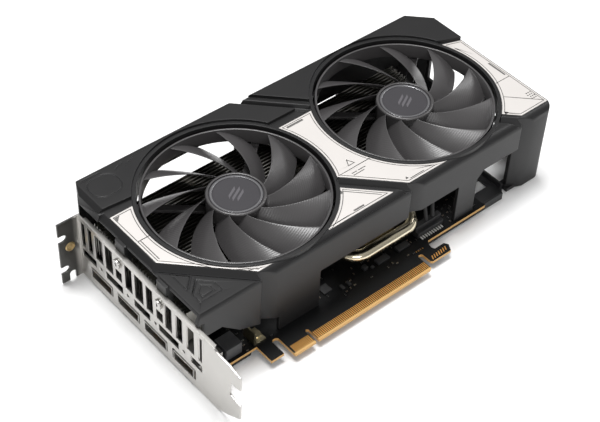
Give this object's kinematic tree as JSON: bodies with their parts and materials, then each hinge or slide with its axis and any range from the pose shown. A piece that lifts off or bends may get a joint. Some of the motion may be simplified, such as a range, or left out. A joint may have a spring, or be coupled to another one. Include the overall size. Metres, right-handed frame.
{
  "type": "graphics card",
  "caption": "Graphics card with a board, edge contacts, slot bracket, finned heatsink with heatpipes, and ringed fans that spin in a black casing with silver trim.",
  "frame": {"origin": "centre of the footprint at the backplate's underside", "axes": "+X from the bracket to the tail, +Y away from the edge contacts, +Z out through the fans"},
  "size_m": [0.2346, 0.1296, 0.0499],
  "materials": {
    "case_black": "satin black moulded plastic",
    "trim_silver": "warm silver, fine brushed",
    "fan_black": "dark grey moulded plastic",
    "label_black": "glossy black label",
    "magnet": "sintered ferrite",
    "steel": "plain",
    "bronze": "sintered bronze",
    "winding": "enamelled copper on a steel core",
    "screw_black": "black zinc",
    "lead_black": "sleeved",
    "fin_metal": "plain",
    "nickel": "nickel plate",
    "board_black": "black solder mask",
    "gold": "gold plate",
    "package": "laminate",
    "silicon": "polished",
    "chip": "moulded",
    "pad": "soft",
    "ferrite": "pressed powder",
    "can": "plain",
    "socket_plastic": "moulded",
    "pin": "tin plate",
    "bracket_steel": "nickel plate",
    "back_black": "satin black"
  },
  "bodies": {
    "card": {"shroud_corner": "case_black", "shroud_left": "case_black", "shroud_right": "case_black", "shroud_tail": "case_black", "trim_left": "trim_silver", "trim_centre": "trim_silver", "trim_front": "trim_silver", "trim_tail": "trim_silver", "fin_stack_left": "fin_metal", "fin_stack_right": "fin_metal", "cold_plate": "nickel", "heatpipe_front_outer": "nickel", "heatpipe_front_inner": "nickel", "heatpipe_back_outer": "nickel", "heatpipe_back_inner": "nickel", "circuit_board": "board_black", "edge_contacts": "gold", "processor_package": "package", "processor_die": "silicon", "memory_chips": "chip", "thermal_pads": "pad", "power_inductors": "ferrite", "power_transistors": "chip", "capacitors": "can", "small_chips": "chip", "mounting_lug": "bracket_steel", "fan_header": "socket_plastic", "fan_header_pins": "pin", "power_socket": "socket_plastic", "power_socket_pins": "pin", "slot_bracket": "bracket_steel", "video_socket": "bracket_steel", "display_socket_1": "bracket_steel", "display_socket_2": "bracket_steel", "display_socket_3": "bracket_steel", "socket_tongues": "socket_plastic", "bracket_screws": "steel", "tab_screw": "bronze", "backplate": "back_black", "backplate_screws": "screw_black", "retention_plate": "steel", "retention_screws": "steel", "fan_lead_left": "lead_black", "fan_lead_right": "lead_black", "bearing_left": "bronze", "motor_mount_left": "fan_black", "stator_left": "winding", "fan_screws_left": "screw_black", "bearing_right": "bronze", "motor_mount_right": "fan_black", "stator_right": "winding", "fan_screws_right": "screw_black"},
    "fan_left": {"rotor_left": "fan_black", "hub_label_left": "label_black", "magnet_ring_left": "magnet", "shaft_left": "steel"},
    "fan_right": {"rotor_right": "fan_black", "hub_label_right": "label_black", "magnet_ring_right": "magnet", "shaft_right": "steel"}
  },
  "joints": [
    {"name": "fan_left_spin", "type": "hinge", "parent": "card", "child": "fan_left", "pos_m": [-0.04448, 0.01501, 0.0428], "axis": [0, 0, 1], "continuous": true},
    {"name": "fan_right_spin", "type": "hinge", "parent": "card", "child": "fan_right", "pos_m": [0.06232, 0.01501, 0.0428], "axis": [0, 0, 1], "continuous": true}
  ]
}
